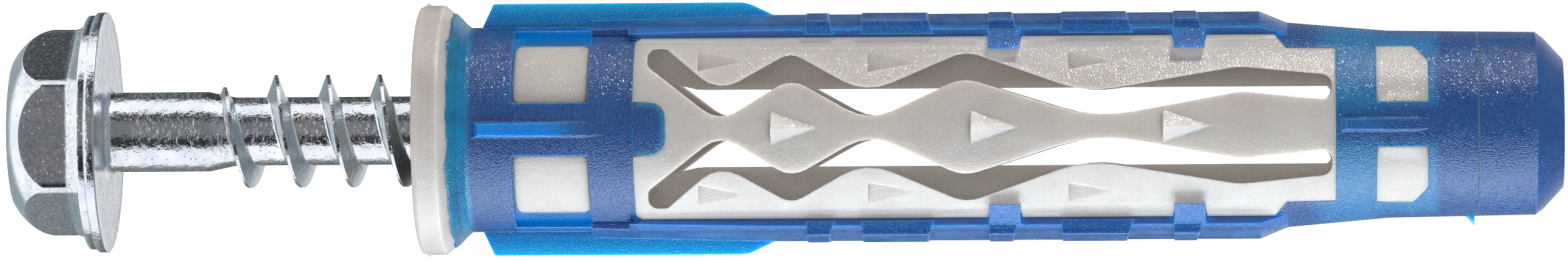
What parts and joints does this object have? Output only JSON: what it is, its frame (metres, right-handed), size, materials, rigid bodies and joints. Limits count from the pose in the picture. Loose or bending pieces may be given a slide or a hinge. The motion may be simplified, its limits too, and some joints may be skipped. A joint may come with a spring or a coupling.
{
  "type": "wall plug with screw",
  "caption": "Ribbed two-material wall plug with wavy spreading legs, holding a started flanged hexagon-head screw",
  "frame": {"origin": "centre of the flat crown of the screw head, at the bottom of the part", "axes": "+Z runs from the screw head to the tip of the plug; the two fins and the blue rails lie along X; the two narrow legs lie along Y"},
  "size_m": [0.011, 0.011, 0.0679],
  "materials": {
    "grey_plastic": "fine-grained matt",
    "blue_plastic": "fine-grained matt",
    "zinc_plate": "bright zinc plating"
  },
  "bodies": {
    "plug": {"plug_body": "grey_plastic", "plug_shell": "blue_plastic"},
    "screw": {"screw": "zinc_plate"}
  },
  "joints": [
    {"name": "screw_drive", "type": "slide", "parent": "plug", "child": "screw", "axis": [0, 0, 1], "range_m": [-0.011, 0.0136]}
  ]
}
